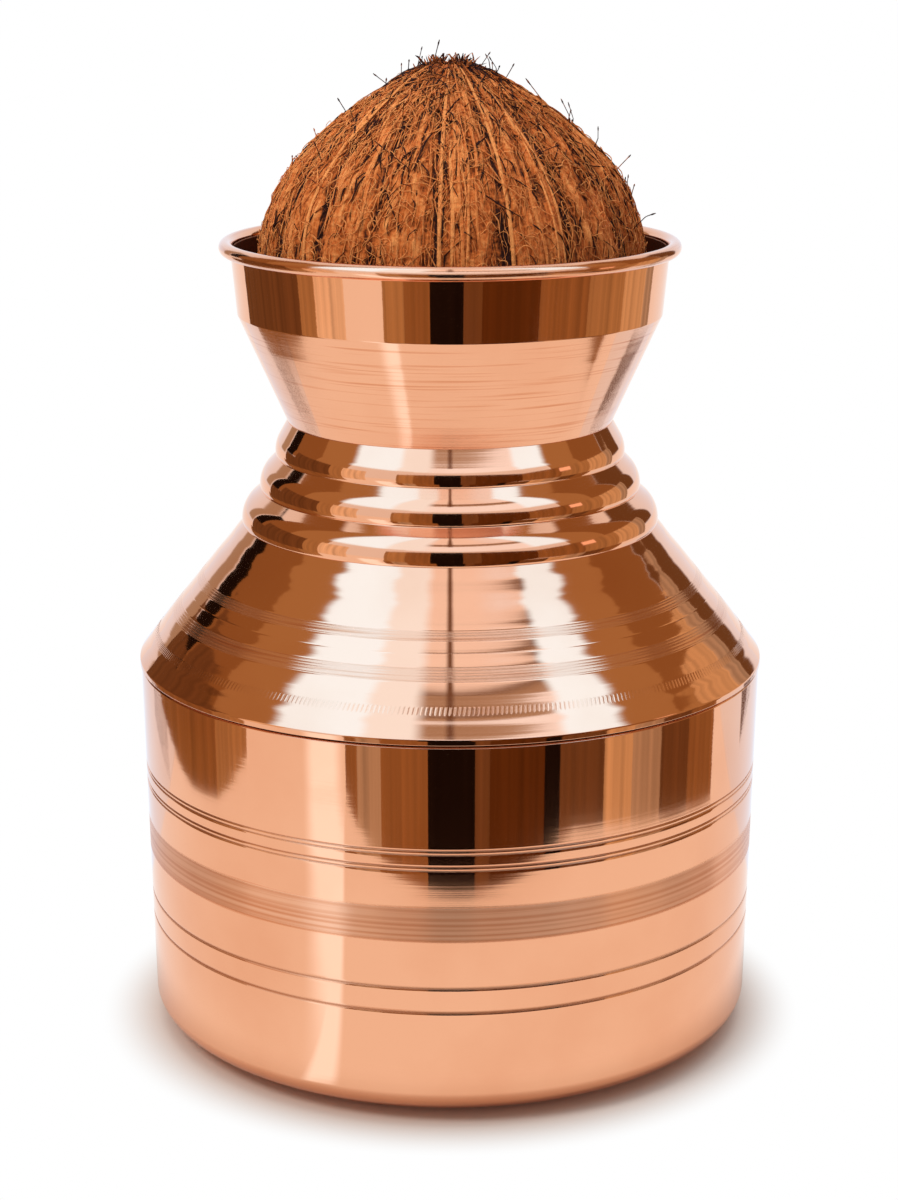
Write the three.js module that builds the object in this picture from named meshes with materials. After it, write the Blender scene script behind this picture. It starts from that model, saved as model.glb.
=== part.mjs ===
// A copper water pot with a stepped neck, and the coconut that sits in its mouth.
//
// The pot is a set of spun sheet shells, one above the other: a straight vessel, a sloping
// shoulder whose edge is turned down over it, a neck of three rolled ribs, and a flaring mouth
// with its rim rolled round a wire. Each shell is the section of one outer face, offset by the
// thickness of the sheet and revolved. Millimetres, +Z up, with the origin at the middle of the
// face that the pot stands on.

import * as THREE from "three";

// Sheet and clearance
const SHEET = 0.8; // thickness of the copper sheet
const LAP_GAP = 0.3; // clearance between two pieces that touch

// Vessel, on its outer face
const BELLY_R = 91; // top of the wall, just under the shoulder's edge
const WALL_TAPER = 1.7; // how much less the radius is at the foot of the wall
const BODY_HEIGHT = 109.7; // up to the joggle that takes the shoulder's edge
const BASE_CORNER_WIDTH = 21.6; // the elliptical corner between foot and wall
const BASE_CORNER_HEIGHT = 9.9;
const FOOT_WIDTH = 9; // flat ring that the pot stands on
const KICK_UP = 1.5; // how far the floor inside that ring is raised
const KICK_UP_RUN = 5; // width of the slope up to it
const SEAT_FLANGE = 4; // turned-in edge that carries the shoulder

// Grooves turned round the wall: two broad ones, and two pairs of fine ones above them
const GROOVE_DEPTH = 0.2;
const BROAD_GROOVE_Z = 34.2;
const BROAD_GROOVE_PITCH = 7.1;
const BROAD_GROOVE_WIDTH = 1.4;
const FINE_GROOVE_Z = 75.3;
const FINE_GROOVE_PITCH = 1.15;
const FINE_PAIR_PITCH = 4.55;
const FINE_GROOVE_WIDTH = 0.7;

// Shoulder, on its outer face
const LIP_OVERHANG = 0.4; // how far the turned-down edge stands out beyond the wall
const LIP_EDGE = 1.4; // height of that edge
const LIP_ROUND = 1; // radius of its top corner
const SHOULDER_RISE = 38.9; // from the lip to the crease under the neck
const SHOULDER_LAP = 1.9; // how far its edge runs in past that crease, under the lowest rib

// Neck: three rolled ribs, each with a small nose over a crease and a fuller round above it
const NECK_TOP_R = 47; // at the crease under the mouth
const TOP_RIB_OUT = 3.7; // how far each rib stands out beyond what is above it
const MIDDLE_RIB_OUT = 4.6;
const LOW_RIB_OUT = 5.4;
const TOP_RIB_RISE = 10.2; // from each rib's crease to the next
const MIDDLE_RIB_RISE = 9.8;
const LOW_RIB_RISE = 10;
const RIB_NOSE = 4; // radius of the nose, below the rib's widest ring
const RIB_BULGE = 8.5; // radius of the round above that ring
const RIB_TUCK = THREE.MathUtils.degToRad(20); // how far it turns under before the crease

// Mouth, on its outer face
const CONE_RISE = 31; // from the neck to the crease between cone and band
const CONE_TOP_R = 60.9;
const BAND_RISE = 18.9; // from that crease to the middle of the rim's bead
const BAND_FLARE = 1.7;
const SPIGOT_LENGTH = 5; // plain skirt inside the neck
const BEAD_R = 2; // outside radius of the rim rolled round its wire

// Solder run into the laps from inside
const SHOULDER_SOLDER = 2.4; // width under the shoulder
const NECK_SOLDER = 2.4; // width under the lowest rib
const SPIGOT_SOLDER = 2.4; // height against the spigot

// Coconut
const NUT_ROOM = 5.3; // between the nut's widest ring and the crease of the mouth
const NUT_RISE = 69; // from there to the point that its sides run up to
const NUT_TAPER = 2.72; // power that draws the sides up to that point
const NUT_DROP = 58; // from its widest down to its lower end
const NUT_CROWN_R = 6.5; // blunt tuft where the sides end
const NUT_CROWN_HOLLOW = 1.5; // depth of the hollow in the tuft
const NUT_LOBES = 3; // soft ridges that run up to the tuft
const NUT_LOBE = 1; // how far they stand out
const NUT_LOBE_AT = THREE.MathUtils.degToRad(-51); // where the first one is, from the front
const NUT_STRAPS = 18; // straps of matted fibre, side by side, that run from end to end
const NUT_STRAP_DRIFT = 0.9; // how unevenly they are spaced: 0 is even
const NUT_FURROW = 1.3; // depth of the furrows between them at the widest ring
const NUT_NOTCH = 1.2; // depth of the notches that they leave in the rim of the tuft

// Fineness of the faceted forms
const AROUND = 48; // facets round the pot, a multiple of four
const CORNER_STEPS = 6;
const NOSE_STEPS = 3;
const LIP_STEPS = 2;
const BEAD_STEPS = 9;
const WIRE_SIDES = 8;
const NUT_STEPS = 7; // rings in each half of the coconut
const NUT_AROUND = 5 * NUT_STRAPS; // facets round it

const copper = new THREE.MeshStandardMaterial({ color: 0xc9794e, roughness: 0.12, metalness: 1 });
const spunCopper = new THREE.MeshStandardMaterial({ color: 0xbf6f47, roughness: 0.3, metalness: 1 });
const solder = new THREE.MeshStandardMaterial({ color: 0x9a9388, roughness: 0.45, metalness: 1 });
const wire = new THREE.MeshStandardMaterial({ color: 0x77736c, roughness: 0.4, metalness: 1 });
const coir = new THREE.MeshStandardMaterial({ color: 0x9a5a33, roughness: 0.95, metalness: 0 });

// Sections are drawn in a plane through the axis: x is the radius and y the height. An outer
// face runs upwards, so that the sheet lies on its left.
const point = (x, y) => new THREE.Vector2(x, y);

// A straight face of a section. Its normal points away from the sheet.
function faceBetween(from, to) {
  const along = to.clone().sub(from).normalize();
  const normal = point(along.y, -along.x);
  return { along, normal, offset: normal.dot(from) };
}

function deeper(face, distance) {
  return { ...face, offset: face.offset - distance };
}

function pointAtRadius(face, radius) {
  return point(radius, (face.offset - face.normal.x * radius) / face.normal.y);
}

// Points along an arc, or along an ellipse whose height is given as well as its width.
function arcPoints(centre, width, from, to, steps, height = width) {
  return Array.from({ length: steps + 1 }, (_, i) => {
    const angle = THREE.MathUtils.lerp(from, to, i / steps);
    return point(centre.x + width * Math.cos(angle), centre.y + height * Math.sin(angle));
  });
}

// The angle on a circle where a line from a point above it touches its right side.
function tangentAngle(centre, radius, from) {
  const reach = from.clone().sub(centre);
  return reach.angle() - Math.acos(radius / reach.length());
}

// The line parallel to an open section line, on its left, with mitred corners.
function offsetLine(points, distance) {
  const normals = points.slice(1).map((to, i) => faceBetween(points[i], to).normal);
  return points.map((p, i) => {
    const before = normals[Math.max(i - 1, 0)];
    const after = normals[Math.min(i, normals.length - 1)];
    const mitre = before.clone().add(after);
    return p.clone().addScaledVector(mitre, (-2 * distance) / mitre.lengthSq());
  });
}

// The stretch of a section line that lies at least a clearance outside a face.
function trimmed(points, face, clearance) {
  const reach = points.map((p) => face.normal.dot(p) - face.offset - clearance);
  return points.flatMap((p, i) => {
    const kept = reach[i] >= 0 ? [p] : [];
    const crosses = i + 1 < points.length && reach[i] * reach[i + 1] < 0;
    if (!crosses) return kept;
    return [...kept, p.clone().lerp(points[i + 1], reach[i] / (reach[i] - reach[i + 1]))];
  });
}

// The closed section of the sheet behind an outer face, cut off short of other pieces' faces.
function sheetSection(outer, cutters = []) {
  const [front, back] = [outer, offsetLine(outer, SHEET)].map((line) =>
    cutters.reduce((kept, face) => trimmed(kept, face, LAP_GAP), line),
  );
  return [...front, ...back.reverse()];
}

// The points of a V-shaped groove at a height on a straight stretch of an outer face.
function groovePoints(from, to, z, width) {
  const face = faceBetween(from, to);
  const onFace = (height) => from.clone().lerp(to, (height - from.y) / (to.y - from.y));
  return [
    onFace(z - width / 2),
    onFace(z).addScaledVector(face.normal, -GROOVE_DEPTH),
    onFace(z + width / 2),
  ];
}

// A solid of revolution from a section drawn anticlockwise, which ends on the axis or is closed
// on itself here.
function revolved(name, section, material, around = AROUND) {
  const profile = section[0].x === 0 ? section : [...section, section[0]];
  const geometry = new THREE.LatheGeometry(profile, around).rotateX(Math.PI / 2);
  const mesh = new THREE.Mesh(geometry, material);
  mesh.name = name;
  return mesh;
}

// Where the shells meet
const lipR = BELLY_R + LIP_OVERHANG;
const joggledR = lipR - SHEET - LAP_GAP;
const joggle = BELLY_R - joggledR;
const lipEdgeZ = BODY_HEIGHT + joggle + LAP_GAP;
const lip = point(lipR, lipEdgeZ + LIP_EDGE);
const topRibR = NECK_TOP_R + TOP_RIB_OUT;
const middleRibR = topRibR + MIDDLE_RIB_OUT;
const lowRibR = middleRibR + LOW_RIB_OUT;
const neckFootZ = lip.y + SHOULDER_RISE;
const middleCreaseZ = neckFootZ + LOW_RIB_RISE;
const topCreaseZ = middleCreaseZ + MIDDLE_RIB_RISE;
const neckTop = point(NECK_TOP_R, topCreaseZ + TOP_RIB_RISE);
const coneTop = point(CONE_TOP_R, neckTop.y + CONE_RISE);
const bandTop = point(CONE_TOP_R + BAND_FLARE, coneTop.y + BAND_RISE);
const beadCentre = bandTop.clone().add(point(BEAD_R - SHEET, 0));
const nutR = CONE_TOP_R - NUT_ROOM;

// The middle of a rib's nose, and the point where it turns under to its crease.
const noseCentre = (noseR, creaseZ) => point(noseR - RIB_NOSE, creaseZ + RIB_NOSE * Math.sin(RIB_TUCK));
const creasePoint = (noseR, creaseZ) => point(noseR - RIB_NOSE * (1 - Math.cos(RIB_TUCK)), creaseZ);

const neckFoot = creasePoint(lowRibR, neckFootZ);
const shoulderFace = faceBetween(lip, neckFoot);
const coneFace = faceBetween(neckTop, coneTop);
const flangeFace = deeper(shoulderFace, SHEET + LAP_GAP);
const flangeStart = pointAtRadius(flangeFace, joggledR);
const flangeEnd = flangeStart.clone().addScaledVector(flangeFace.along, SEAT_FLANGE);
const shoulderTop = pointAtRadius(shoulderFace, neckFoot.x - SHOULDER_LAP);

// One rib of the neck: its nose from a starting angle up to the widest ring, and the round above
// that ring, which a straight flank leaves on a tangent towards the next crease.
function ribPoints(noseR, creaseZ, flankEnd, startAngle) {
  const nose = noseCentre(noseR, creaseZ);
  const bulge = point(noseR - RIB_BULGE, nose.y);
  return [
    ...arcPoints(nose, RIB_NOSE, startAngle, 0, Math.round(-startAngle / RIB_TUCK)).slice(0, -1),
    ...arcPoints(bulge, RIB_BULGE, 0, tangentAngle(bulge, RIB_BULGE, flankEnd), NOSE_STEPS),
  ];
}

// The neck's outer face. The lowest nose starts inside the shoulder, which cuts it off.
const lowRib = ribPoints(lowRibR, neckFootZ, creasePoint(middleRibR, middleCreaseZ), -2 * RIB_TUCK);
const neckFace = [
  ...lowRib,
  ...ribPoints(middleRibR, middleCreaseZ, creasePoint(topRibR, topCreaseZ), -RIB_TUCK),
  ...ribPoints(topRibR, topCreaseZ, neckTop, -RIB_TUCK),
  neckTop,
];
const neckSection = sheetSection(neckFace, [shoulderFace, coneFace]);
const neckLining = offsetLine(neckFace, SHEET + LAP_GAP); // a clearance inside the neck's sheet
const spigotR = Math.min(...neckSection.map((p) => p.x)) - LAP_GAP;

// The vessel: floor, rounded corner, wall, joggle and the flange that lies under the shoulder.
// Its grooves are cut in the outer face only.
function vesselSection() {
  const cornerCentre = point(BELLY_R - WALL_TAPER - BASE_CORNER_WIDTH, BASE_CORNER_HEIGHT);
  const footInnerR = cornerCentre.x - FOOT_WIDTH;
  const floorAndCorner = [
    point(0, KICK_UP),
    point(footInnerR - KICK_UP_RUN, KICK_UP),
    point(footInnerR, 0),
    ...arcPoints(cornerCentre, BASE_CORNER_WIDTH, -Math.PI / 2, 0, CORNER_STEPS, BASE_CORNER_HEIGHT),
  ];
  const wallFoot = floorAndCorner.at(-1);
  const wallTop = point(BELLY_R, BODY_HEIGHT);
  const joggleTop = point(joggledR, BODY_HEIGHT + joggle);
  const section = sheetSection([...floorAndCorner, wallTop, joggleTop, flangeStart, flangeEnd]);
  section.splice(floorAndCorner.length, 0, ...wallGrooves(wallFoot, wallTop));
  return section;
}

function wallGrooves(wallFoot, wallTop) {
  const broad = [0, 1].map((i) => BROAD_GROOVE_Z + i * BROAD_GROOVE_PITCH);
  const fine = [0, 1].flatMap((pair) =>
    [0, 1].map((i) => FINE_GROOVE_Z + pair * FINE_PAIR_PITCH + i * FINE_GROOVE_PITCH),
  );
  return [
    ...broad.flatMap((z) => groovePoints(wallFoot, wallTop, z, BROAD_GROOVE_WIDTH)),
    ...fine.flatMap((z) => groovePoints(wallFoot, wallTop, z, FINE_GROOVE_WIDTH)),
  ];
}

// The shoulder's outer face, from its turned-down edge up to the edge under the lowest rib
function shoulderOuterFace() {
  const roundCentre = pointAtRadius(deeper(shoulderFace, LIP_ROUND), lipR - LIP_ROUND);
  return [
    point(lipR, lipEdgeZ),
    ...arcPoints(roundCentre, LIP_ROUND, 0, shoulderFace.normal.angle(), LIP_STEPS),
    shoulderTop,
  ];
}

// The mouth's outer face: spigot, cone and band, then the curl that closes round the wire until
// its edge is a clearance away from the band.
function mouthFace() {
  const spigotTop = pointAtRadius(coneFace, spigotR);
  const curlEnd = -Math.acos((bandTop.x + LAP_GAP - beadCentre.x) / BEAD_R);
  return [
    spigotTop.clone().sub(point(0, SPIGOT_LENGTH)),
    spigotTop,
    coneTop,
    ...arcPoints(beadCentre, BEAD_R - SHEET, Math.PI, curlEnd, BEAD_STEPS),
  ];
}

// Solder against the end of the vessel's flange and the underside of the shoulder
function shoulderSolderSection() {
  const corner = flangeEnd.clone().addScaledVector(flangeFace.along, LAP_GAP);
  return [
    corner,
    corner.clone().addScaledVector(flangeFace.along, SHOULDER_SOLDER),
    corner.clone().addScaledVector(flangeFace.normal, -SHEET),
  ];
}

// Solder against the shoulder's upper edge and the inside of the lowest rib
function neckSolderSection() {
  const shoulderEdge = { normal: shoulderFace.along, offset: shoulderFace.along.dot(shoulderTop) };
  const corner = trimmed(neckLining, shoulderEdge, LAP_GAP)[0];
  const lowFlank = faceBetween(neckLining[lowRib.length - 1], neckLining[lowRib.length]);
  return [
    corner,
    corner.clone().addScaledVector(lowFlank.along, NECK_SOLDER),
    corner.clone().addScaledVector(shoulderFace.normal, -SHEET),
  ];
}

// Solder between the mouth's spigot and the top of the neck
function mouthSolderSection() {
  const neckFlank = faceBetween(...neckLining.slice(-2));
  const corner = pointAtRadius(neckFlank, spigotR + LAP_GAP);
  return [
    corner,
    corner.clone().sub(point(0, SPIGOT_SOLDER)),
    corner.clone().addScaledVector(neckFlank.along, -SPIGOT_SOLDER),
  ];
}

// The coconut: an ellipse below its widest ring, and above it sides drawn in by a power of the
// height to a blunt, hollowed tuft. It drops into the mouth until it rests on the cone.
function coconut() {
  const seat = deeper(coneFace, SHEET + LAP_GAP);
  const downReach = Math.hypot(nutR * seat.normal.x, NUT_DROP * seat.normal.y);
  const widest = point(0, (seat.offset - downReach) / seat.normal.y);
  const crownRise = NUT_RISE * (1 - NUT_CROWN_R / nutR) ** (1 / NUT_TAPER);
  const sides = Array.from({ length: NUT_STEPS }, (_, i) => {
    const rise = crownRise * Math.sin(((i + 1) / NUT_STEPS) * (Math.PI / 2));
    return point(nutR * (1 - (rise / NUT_RISE) ** NUT_TAPER), widest.y + rise);
  });
  const section = [
    ...arcPoints(widest, nutR, -Math.PI / 2, 0, NUT_STEPS, NUT_DROP),
    ...sides,
    point(0, widest.y + crownRise - NUT_CROWN_HOLLOW),
  ];
  section[0].x = 0;
  const nut = revolved("coconut", section, coir, NUT_AROUND);
  shapeHusk(nut.geometry.getAttribute("position"), widest.y, crownRise);
  return nut;
}

// Moves the coconut's sides out along its ridges, most of all half-way up to the tuft, and in
// along the furrows between its straps, which grow shallower with the radius. The furrows end
// as notches in the rim of the tuft.
function shapeHusk(positions, widestZ, crownRise) {
  for (let i = 0; i < positions.count; i++) {
    const [x, y, z] = [positions.getX(i), positions.getY(i), positions.getZ(i)];
    const radius = Math.hypot(x, y);
    if (radius < 1e-6) continue;
    const rise = THREE.MathUtils.clamp((z - widestZ) / crownRise, 0, 1);
    const turn = Math.atan2(x, -y) - NUT_LOBE_AT;
    const lobe = NUT_LOBE * Math.sin(Math.PI * rise) * Math.cos(NUT_LOBES * turn);
    const valley = (1 - Math.cos(NUT_STRAPS * turn + NUT_STRAP_DRIFT * Math.sin(2 * turn))) / 2;
    const furrow = NUT_FURROW * (radius / nutR) * valley;
    const scale = 1 + (lobe - furrow) / radius;
    const notch = rise > 0.999 ? NUT_NOTCH * valley : 0; // on the rim alone
    positions.setXYZ(i, x * scale, y * scale, z - notch);
  }
}

const pot = new THREE.Group();
pot.add(
  revolved("vessel_body", vesselSection(), copper),
  revolved("shoulder", sheetSection(shoulderOuterFace()), copper),
  revolved("shoulder_seam_solder", shoulderSolderSection(), solder),
  revolved("ribbed_neck", neckSection, copper),
  revolved("neck_seam_solder", neckSolderSection(), solder),
  revolved("mouth_funnel", sheetSection(mouthFace()), spunCopper),
  revolved("mouth_seam_solder", mouthSolderSection(), solder),
  revolved("rim_wire", arcPoints(beadCentre, BEAD_R - SHEET - LAP_GAP, 0, 2 * Math.PI, WIRE_SIDES), wire),
);

const waterPot = new THREE.Group();
waterPot.add(pot, coconut());
export default waterPot;
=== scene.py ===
"""Dresses a packed copper water pot, and the coconut in its mouth, in a plain studio."""

import math
from functools import partial

import bpy
import numpy as np
from bpy.props import FloatProperty, FloatVectorProperty, IntProperty, PointerProperty
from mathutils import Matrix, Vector


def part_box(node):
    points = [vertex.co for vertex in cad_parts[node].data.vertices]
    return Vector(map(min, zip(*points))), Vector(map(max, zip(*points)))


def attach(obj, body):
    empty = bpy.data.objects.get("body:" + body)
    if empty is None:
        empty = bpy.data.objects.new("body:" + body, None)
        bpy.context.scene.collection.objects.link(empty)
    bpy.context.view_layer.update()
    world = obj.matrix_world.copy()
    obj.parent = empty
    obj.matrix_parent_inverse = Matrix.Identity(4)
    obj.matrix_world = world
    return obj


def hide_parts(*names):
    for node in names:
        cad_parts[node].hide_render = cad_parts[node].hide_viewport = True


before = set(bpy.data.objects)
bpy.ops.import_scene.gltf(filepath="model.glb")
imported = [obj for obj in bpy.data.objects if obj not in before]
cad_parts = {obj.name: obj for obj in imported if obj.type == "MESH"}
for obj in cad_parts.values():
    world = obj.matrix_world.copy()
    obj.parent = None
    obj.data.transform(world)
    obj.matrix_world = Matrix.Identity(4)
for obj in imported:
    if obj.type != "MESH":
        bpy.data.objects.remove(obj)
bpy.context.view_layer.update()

bl_info = {
    "name": "Copper water pot",
    "version": (1, 0, 0),
    "blender": (4, 5, 0),
    "location": "View3D > Sidebar > Water pot",
    "description": "Turned copper shells, solder and a coconut, built on the packed parts",
    "category": "Object",
}

MM = 0.001
CAMERA_PLACE = (-0.3 * MM, -723.3 * MM, 318.4 * MM)
CAMERA_PITCH = math.radians(-14.887)
LENS_MM, SENSOR_MM = 75.95, 36


def linear(hex_colour):
    """The linear RGB of an sRGB hex colour, by the usual two-part curve."""
    coded = np.array([int(hex_colour[i : i + 2], 16) / 255 for i in (1, 3, 5)])
    return tuple(np.where(coded <= 0.04045, coded / 12.92, ((coded + 0.055) / 1.055) ** 2.4))


def size(name, millimetres, description):
    return FloatProperty(
        name=name, description=description, default=millimetres * MM, unit="LENGTH", precision=5
    )


def colour(name, hex_colour, description):
    return FloatVectorProperty(
        name=name, description=description, default=linear(hex_colour), subtype="COLOR",
        min=0.0, max=1.0,
    )


def reach(node):
    """How far a revolved node reaches from the axis."""
    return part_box(node)[1].x


# Sizes and colours that a user would change


class PotSizes(bpy.types.PropertyGroup):
    """Sizes of the copper shells, on their outer faces."""

    around: IntProperty(name="Around", description="Points in each turned ring", default=256)
    sheet: size("Sheet", 0.8, "Thickness of the copper sheet")
    gap: size("Gap", 0.3, "Clearance between two pieces that touch")
    wall_taper: size("Wall taper", 1.7, "How much less the radius is at the foot of the wall")
    corner_width: size("Corner width", 21.6, "Width of the corner between foot and wall")
    corner_height: size("Corner height", 9.9, "Height of that corner")
    foot_width: size("Foot width", 9.0, "Width of the flat ring that the pot stands on")
    kick_up: size("Kick-up", 1.5, "How far the floor inside that ring is raised")
    kick_run: size("Kick-up run", 5.0, "Width of the slope up to it")
    seat_flange: size("Seat flange", 4.0, "Turned-in edge under the shoulder")
    lip_edge: size("Lip edge", 1.4, "Height of the shoulder's turned-down edge")
    lip_round: size("Lip round", 1.0, "Radius of its top corner")
    shoulder_rise: size("Shoulder rise", 38.9, "From the lip to the crease under the neck")
    shoulder_lap: size("Shoulder lap", 1.9, "How far the shoulder runs in under the neck")
    break_rise: size("Break rise", 9.8, "From the lip to the break in the shoulder's slope")
    break_bulge: size("Break bulge", 0.3, "How far that break stands out")
    neck_top: size("Neck top", 47.0, "Radius of the crease under the mouth")
    top_rib_out: size("Top rib", 3.7, "How far the top rib stands out")
    middle_rib_out: size("Middle rib", 4.6, "How far the middle rib stands out past it")
    low_rib_out: size("Low rib", 5.4, "How far the low rib stands out past that")
    top_rib_rise: size("Top rib rise", 10.2, "From the top rib's crease to the mouth")
    middle_rib_rise: size("Middle rib rise", 9.8, "From the middle rib's crease to the next")
    low_rib_rise: size("Low rib rise", 10.0, "From the low rib's crease to the next")
    rib_nose: size("Rib nose", 4.0, "Radius of a rib's nose, below its widest ring")
    rib_bulge: size("Rib bulge", 8.5, "Radius of the round above that ring")
    cone_rise: size("Cone rise", 31.0, "From the neck to the crease between cone and band")
    cone_top: size("Cone top", 60.9, "Radius of that crease")
    band_rise: size("Band rise", 18.9, "From that crease to the middle of the bead")
    band_flare: size("Band flare", 1.7, "How much wider the band is at its top")
    spigot: size("Spigot", 5.0, "Plain skirt inside the neck")
    bead: size("Bead", 2.0, "Outside radius of the rolled rim")
    ripple: FloatProperty(
        name="Ripple", description="Slope of the soft waves that spinning leaves", default=0.0016
    )


class GrooveSizes(bpy.types.PropertyGroup):
    """Lines cut and pressed into the copper while it turned."""

    depth: size("Depth", 0.2, "Depth of the wall's grooves")
    broad_z: size("Broad grooves", 34.2, "Height of the lower broad groove")
    broad_pitch: size("Broad pitch", 7.1, "From it to the upper one")
    broad_width: size("Broad width", 1.4, "Width of the broad grooves")
    fine_z: size("Fine grooves", 75.3, "Height of the lowest fine groove")
    fine_pitch: size("Fine pitch", 1.15, "Between the two of a pair")
    fine_pair: size("Pair pitch", 4.55, "Between the two pairs")
    fine_width: size("Fine width", 0.7, "Width of the fine grooves")
    matt_low: size("Matt band foot", 55.2, "Lower edge of the matt band")
    matt_high: size("Matt band top", 65.2, "Upper edge of the matt band")
    scribe_depth: size("Scribe depth", 0.02, "Depth of the lines scribed in the shoulder")
    scribe_width: size("Scribe width", 0.42, "Width of those lines")
    upper_z: size("Upper lines", 134.2, "Height of the lowest line of the upper group")
    upper_pitch: size("Upper pitch", 0.58, "Between the lines of that group")
    lone_z: size("Lone line", 131.5, "Height of the line between the groups")
    lower_z: size("Lower lines", 125.0, "Height of the lowest line of the lower group")
    lower_pitch: size("Lower pitch", 0.62, "Between the lines of that group")
    tick_z: size("Ticks", 118.6, "Height of the ring of knurled ticks")
    tick_length: size("Tick length", 2.7, "Length of a tick, up the slope")
    tick_pitch: size("Tick pitch", 1.25, "From tick to tick round the pot")
    tick_relief: size("Tick relief", 0.022, "How far a tick stands out")


class NutSizes(bpy.types.PropertyGroup):
    """Sizes of the coconut and its fibres."""

    radius: size("Radius", 55.6, "Radius of the widest ring")
    rise: size("Rise", 69.0, "From the widest ring to the point that the sides run up to")
    taper: FloatProperty(name="Taper", description="Power that draws the sides up", default=2.72)
    drop: size("Drop", 58.0, "From the widest ring down to the lower end")
    crown: size("Crown", 6.5, "Radius of the blunt end at the tuft")
    hollow: size("Hollow", 1.5, "Depth of the hollow in that end")
    lobe: size("Lobe", 1.0, "How far the three soft ridges stand out")
    lobe_at: FloatProperty(
        name="Lobe at", description="Where the first ridge is, from the front",
        default=math.radians(-51), subtype="ANGLE",
    )
    straps: IntProperty(name="Straps", description="Straps of matted fibre", default=18)
    strap_drift: FloatProperty(
        name="Strap drift", description="How unevenly they are spaced", default=0.9
    )
    furrow: size("Furrow", 1.3, "Depth of the furrows between them")
    relief: size("Relief", 0.62, "Height of the finer ridges of matted fibre")
    strand: size("Strand", 0.34, "Half the width of a long strand")
    fibre: size("Fibre", 0.18, "Half the width of a short fibre")
    hair: size("Hair", 0.13, "Half the width of a loose hair")


class PotColours(bpy.types.PropertyGroup):
    """Colours of the object."""

    copper: colour("Copper", "#f2b089", "Clean buffed copper")
    tarnish: colour("Tarnish", "#d8865a", "Copper where it has begun to dull")
    solder: colour("Solder", "#9a948a", "Tin-lead solder")
    steel: colour("Steel", "#8a8782", "Drawn steel wire")
    patina: colour("Patina", "#45200f", "Unbuffed copper inside the pot")
    coir: colour("Coir", "#cf6c2f", "Matted husk fibre")
    # Dark coir ends the tone ramp: it is random dark fibre, and also the painted shade in gaps, splits and
    # furrows.
    coir_dark: colour("Dark coir", "#321004", "Gaps between the fibres")
    coir_light: colour("Light coir", "#f09a56", "Dry loose fibres")


# Meshes from arrays


def whole_turn(count):
    return np.arange(count) * (2 * math.pi / count)


def polar(radius, z, turn):
    """Points at a radius, a height and a turn round the axis from the front: a point at turn a
    lies at x = radius sin a, y = -radius cos a."""
    places = np.broadcast_arrays(radius * np.sin(turn), -radius * np.cos(turn), z)
    return np.stack(places, -1)


def new_mesh(name, points, faces, material):
    mesh = bpy.data.meshes.new(name)
    mesh.from_pydata(np.asarray(points, float).reshape(-1, 3).tolist(), [], faces)
    mesh.materials.append(material)
    return mesh


def placed(name, data):
    """A new object at the origin of the scene, from its mesh, lamp or camera."""
    piece = bpy.data.objects.new(name, data)
    bpy.context.scene.collection.objects.link(piece)
    return piece


def make_piece(name, points, faces, material, values):
    """A smooth mesh object from an array of points and a list of faces. Each of values is kept
    as a number per point, under its name."""
    mesh = new_mesh(name, points, faces, material)
    mesh.shade_smooth()
    for key, numbers in values.items():
        attribute = mesh.attributes.new(key, "FLOAT", "POINT")
        attribute.data.foreach_set("value", np.asarray(numbers, np.float32).ravel())
    return placed(name, mesh)


def grid_faces(rows, columns, close_rows=False, close_columns=True):
    """Quads of a grid whose rows and columns close on themselves where asked."""
    row, column = np.meshgrid(
        np.arange(rows if close_rows else rows - 1),
        np.arange(columns if close_columns else columns - 1),
        indexing="ij",
    )
    here, above = row * columns, (row + 1) % rows * columns
    beside = (column + 1) % columns
    return np.stack([here + column, here + beside, above + beside, above + column], -1).reshape(-1, 4)


def with_poles(points, low_z, high_z):
    """The points and faces of a grid of rings, closed with a fan at each of two poles."""
    rows, around = points.shape[:2]
    here = np.arange(around)
    beside = (here + 1) % around
    first_pole = rows * around
    top = first_pole - around
    faces = grid_faces(rows, around).tolist()
    faces += np.stack([np.full(around, first_pole), beside, here], -1).tolist()
    faces += np.stack([top + here, top + beside, np.full(around, first_pole + 1)], -1).tolist()
    return np.vstack([points.reshape(-1, 3), [[0, 0, low_z], [0, 0, high_z]]]), faces


def turned(name, section, around, material, values):
    """A section of (radius, height) points turned round the axis. One that starts and ends on
    the axis is closed there at two poles, and any other is closed on itself."""
    on_axis = section[0, 0] < 1e-9
    ringed = slice(1, -1) if on_axis else slice(None)
    points = polar(section[ringed, :1], section[ringed, 1:], whole_turn(around))
    values = {key: np.repeat(numbers[ringed], around) for key, numbers in values.items()}
    if on_axis:
        points, faces = with_poles(points, section[0, 1], section[-1, 1])
        values = {key: np.append(numbers, [0.0, 0.0]) for key, numbers in values.items()}
    else:
        faces = grid_faces(len(section), around, close_rows=True).tolist()
    return make_piece(name, points, faces, material, values)


def normals_of(line):
    """Unit normals on the right of a line of (radius, height) points."""
    step = np.gradient(line, axis=0)
    step /= np.linalg.norm(step, axis=1, keepdims=True)
    return np.stack([step[:, 1], -step[:, 0]], -1)


def arc_length(line):
    return np.concatenate([[0.0], np.cumsum(np.linalg.norm(np.diff(line, axis=0), axis=1))])


def arc(centre, width, start, end, steps, height=None):
    """Points on a circle, or on an ellipse where its height is given too."""
    angle = np.linspace(start, end, steps + 1)
    height = width if height is None else height
    return np.stack([centre[0] + width * np.cos(angle), centre[1] + height * np.sin(angle)], -1)


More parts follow.
